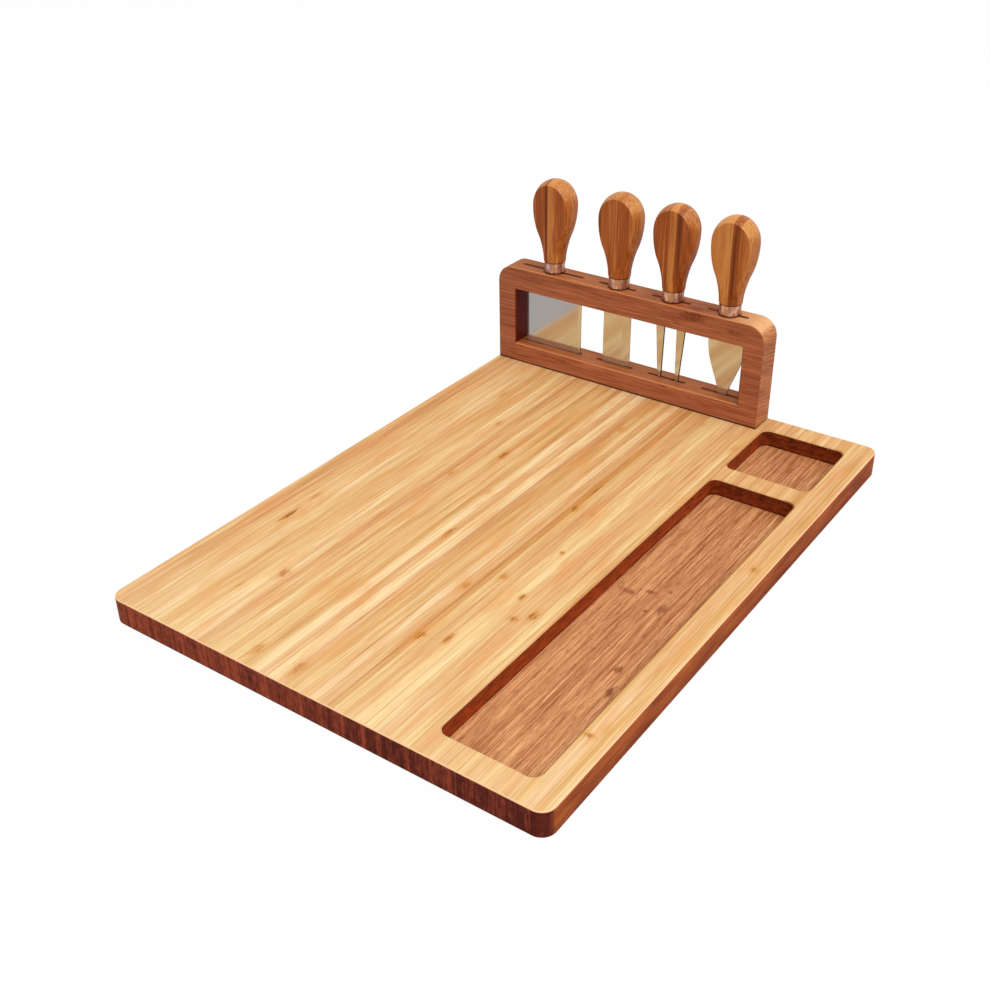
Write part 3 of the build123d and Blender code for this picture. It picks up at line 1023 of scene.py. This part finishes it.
class MakeRack(bpy.types.Operator):
    """Give the knife rack its layered bamboo"""

    bl_idname = "cheese_board.make_rack"
    bl_label = "Knife rack"

    def execute(self, context):
        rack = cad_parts["knife_rack"]
        seats = [[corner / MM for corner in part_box(f"{knife}_ferrule")] for knife in BLADES]
        give_material(rack, rack_material(context.scene.rack_finish, seats))
        return {"FINISHED"}


class MakeHandles(bpy.types.Operator):
    """Turn the four handles"""

    bl_idname = "cheese_board.make_handles"
    bl_label = "Handles"

    def execute(self, context):
        finish = context.scene.handle_finish
        wood = handle_material(finish)
        for knife in BLADES:
            low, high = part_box(f"{knife}_handle")
            foot_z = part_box(f"{knife}_ferrule")[1].z
            middle = (low + high) / 2
            values = {
                "Height": high.z - foot_z,
                "Widest height": finish.widest_height,
                "Widest diameter": high.x - low.x,
                "Neck diameter": finish.neck_diameter,
                "Thickness": high.y - low.y,
                "Edge softness": finish.edge_softness,
                "Segments": finish.segments,
                "Rings": finish.rings,
                "Foot": (middle.x, middle.y, foot_z),
                "Wood": wood,
            }
            grip = grow_piece(f"{knife}_grip", handle_tree(), values)
            grip.data.set_sharp_from_angle(angle=HANDLE_CREASE)
            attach(grip, knife)
            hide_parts(f"{knife}_handle")
        return {"FINISHED"}


class MakeBlades(bpy.types.Operator):
    """Break the blades' edges and polish them"""

    bl_idname = "cheese_board.make_blades"
    bl_label = "Blades"

    def execute(self, context):
        finish = context.scene.steel_finish
        steel = blade_material(finish)
        for knife, node in BLADES.items():
            blade = copy_of_node(node, f"{knife}_polished_blade")
            bevel = blade.modifiers.new("Broken edges", "BEVEL")
            bevel.width = finish.edge_bevel
            bevel.segments = 1
            bevel.limit_method = "ANGLE"
            bevel.angle_limit = BROKEN_EDGE
            settle(blade)
            blade.data.shade_smooth()
            blade.data.set_sharp_from_angle(angle=BLADE_CREASE)
            for face in blade.data.polygons:
                face.use_smooth = abs(face.normal.y) < BROADSIDE
            give_material(blade, steel)
            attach(blade, knife)
            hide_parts(node)
        return {"FINISHED"}


class MakeFerrules(bpy.types.Operator):
    """Polish the four ferrules"""

    bl_idname = "cheese_board.make_ferrules"
    bl_label = "Ferrules"

    def execute(self, context):
        low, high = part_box("cleaver_ferrule")
        steel = ferrule_material(context.scene.steel_finish, low.z / MM, high.z / MM)
        for knife in BLADES:
            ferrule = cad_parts[f"{knife}_ferrule"]
            give_material(ferrule, steel)
        return {"FINISHED"}


class MakeScrews(bpy.types.Operator):
    """Plate the two screws that hold the rack"""

    bl_idname = "cheese_board.make_screws"
    bl_label = "Rack screws"

    def execute(self, context):
        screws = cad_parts["rack_screws"]
        bench = MaterialBench("plated_screw_steel")
        tint = context.scene.steel_finish.screw
        give_material(screws, polished(bench, tint, metallic=1.0, roughness=0.32, unevenness=0.06))
        return {"FINISHED"}


class MakeStudio(bpy.types.Operator):
    """Lay the pale floor, hang the lights and set up the camera"""

    bl_idname = "cheese_board.make_studio"
    bl_label = "Studio"

    def execute(self, context):
        setup = context.scene.studio_setup
        self.lay_floor(setup)
        self.hang_lights(context.scene, setup)
        self.place_camera(context.scene, setup)
        context.scene.view_settings.view_transform = "Standard"
        return {"FINISHED"}

    def lay_floor(self, setup):
        """A floor that glows white to the camera and a little in polished steel."""
        mesh = bpy.data.meshes.new("studio_floor")
        corners = [(-1, -1), (1, -1), (1, 1), (-1, 1)]
        places = [(x * FLOOR_REACH, y * FLOOR_REACH, -FLOOR_DROP) for x, y in corners]
        mesh.from_pydata(places, [], [(0, 1, 2, 3)])
        floor = add_object("studio_floor", mesh)
        material = bpy.data.materials.new("studio_floor")
        bench = NodeBench(empty_tree(material))
        path = bench.node("ShaderNodeLightPath").outputs
        direct = bench.most(path["Is Camera Ray"], path["Is Transmission Ray"])
        shade = bench.blend(direct, setup.floor, 1.0)
        paint = bench.node("ShaderNodeBsdfDiffuse", {"Color": shade}).outputs[0]
        glow = bench.node("ShaderNodeEmission", {"Color": opaque(1.0), "Strength": 1.0}).outputs[0]
        mirrored = bench.times(path["Is Glossy Ray"], setup.mirror_glow)
        share = bench.most(bench.times(direct, setup.direct_glow), mirrored)
        mixed = bench.node("ShaderNodeMixShader", {0: share, 1: paint, 2: glow}).outputs[0]
        bench.node("ShaderNodeOutputMaterial", {0: mixed})
        mesh.materials.append(material)

    def hang_lights(self, scene, setup):
        """Even light from all round, which looks white, and a soft light from the upper right."""
        world = bpy.data.worlds.new("studio_air")
        scene.world = world
        bench = NodeBench(empty_tree(world))
        path = bench.node("ShaderNodeLightPath").outputs
        direct = bench.most(path["Is Camera Ray"], path["Is Glossy Ray"], path["Is Transmission Ray"])
        even, white = [
            bench.node("ShaderNodeBackground", {"Color": opaque(1.0), "Strength": strength}).outputs[0]
            for strength in (setup.ambient, 1.0)
        ]
        mixed = bench.node("ShaderNodeMixShader", {0: direct, 1: even, 2: white}).outputs[0]
        bench.node("ShaderNodeOutputWorld", {0: mixed})
        light = bpy.data.lights.new("key_light", "AREA")
        light.energy = setup.key_power
        light.shape = "DISK"
        light.size = KEY_WIDTH
        key = add_object("key_light", light)
        key.location = KEY_PLACE
        key.rotation_euler = (-Vector(KEY_PLACE)).to_track_quat("-Z", "Y").to_euler()

    def place_camera(self, scene, setup):
        camera = bpy.data.cameras.new("photo_camera")
        camera.sensor_width = 36
        camera.lens = setup.lens
        camera.clip_start = 0.01
        holder = add_object("photo_camera", camera)
        turn = Matrix.Rotation(setup.azimuth, 4, "Z")
        slope = Matrix.Rotation(pi / 2 - setup.elevation, 4, "X")
        tilt = Matrix.Rotation(setup.roll, 4, "Z")
        holder.matrix_world = Matrix.Translation(setup.eye) @ turn @ slope @ tilt
        scene.camera = holder


class CheeseBoardPanel(bpy.types.Panel):
    bl_label = "Cheese Board"
    bl_idname = "VIEW3D_PT_cheese_board"
    bl_space_type = "VIEW_3D"
    bl_region_type = "UI"
    bl_category = "Cheese Board"

    def draw(self, context):
        for operator in OPERATORS:
            self.layout.operator(operator.bl_idname)
        for group_name in FINISHES:
            group = getattr(context.scene, group_name)
            box = self.layout.box()
            box.label(text=group_name.replace("_", " ").capitalize())
            for prop in group.bl_rna.properties:
                if prop.identifier not in ("rna_type", "name"):
                    box.prop(group, prop.identifier)


OPERATORS = (MakeBoard, MakeRack, MakeScrews, MakeBlades, MakeFerrules, MakeHandles, MakeStudio)
FINISHES = {
    "board_finish": BoardFinish,
    "rack_finish": RackFinish,
    "handle_finish": HandleFinish,
    "steel_finish": SteelFinish,
    "studio_setup": StudioSetup,
}


def register():
    for name, group in FINISHES.items():
        bpy.utils.register_class(group)
        setattr(bpy.types.Scene, name, PointerProperty(type=group))
    for kind in OPERATORS + (CheeseBoardPanel,):
        bpy.utils.register_class(kind)


def unregister():
    for kind in (CheeseBoardPanel,) + OPERATORS[::-1]:
        bpy.utils.unregister_class(kind)
    for name, group in FINISHES.items():
        delattr(bpy.types.Scene, name)
        bpy.utils.unregister_class(group)


def main():
    register()
    for operator in OPERATORS:
        group, action = operator.bl_idname.split(".")
        getattr(getattr(bpy.ops, group), action)()


if __name__ == "__main__":
    main()
